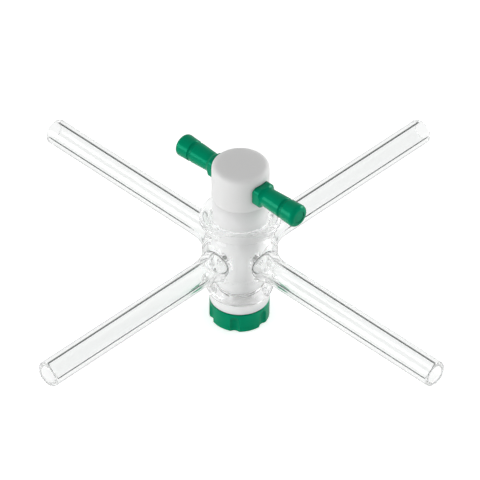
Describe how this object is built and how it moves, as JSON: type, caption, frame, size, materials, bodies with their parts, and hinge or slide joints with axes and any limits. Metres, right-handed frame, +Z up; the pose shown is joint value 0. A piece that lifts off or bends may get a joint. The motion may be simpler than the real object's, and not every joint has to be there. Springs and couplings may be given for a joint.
{
  "type": "glass stopcock",
  "caption": "Four-way glass stopcock: crossing glass arms fused to a tapered seat, a white plug with angled passages, a green bar handle and a green retaining nut.",
  "frame": {"origin": "centre of the nut's flat underside, on the plug's axis", "axes": "+Z up the plug's axis towards the head; +X along the handle and one pair of arms; the arms lie in the plane z = 25.2 mm"},
  "size_m": [0.16, 0.16, 0.0583],
  "materials": {
    "clear_glass": "clear, fire-polished, with a ground taper seat",
    "white_fluoropolymer": "turned, waxy satin",
    "green_plastic": "moulded, soft gloss",
    "white_rubber": "satin elastic ring"
  },
  "bodies": {
    "glass": {"glass_body": "clear_glass"},
    "key": {"plug": "white_fluoropolymer", "handle_pin_half": "green_plastic", "handle_socket_half": "green_plastic"},
    "washer_stack": {"washer": "white_fluoropolymer", "o_ring": "white_rubber"},
    "nut": {"nut": "green_plastic"}
  },
  "joints": [
    {"name": "key_turn", "type": "hinge", "parent": "glass", "child": "key", "pos_m": [0, 0, 0.0252], "axis": [0, 0, 1], "continuous": true},
    {"name": "nut_travel", "type": "slide", "parent": "key", "child": "washer_stack", "axis": [0, 0, -1], "range_m": [0, 0.0045]},
    {"name": "nut_turn", "type": "hinge", "parent": "washer_stack", "child": "nut", "pos_m": [0, 0, 0.00335], "axis": [0, 0, -1], "range_deg": [0, 1080]}
  ],
  "couplings": [
    {"joint": "nut_travel", "follows": "nut_turn", "m_per_rad": 0.00023873}
  ]
}
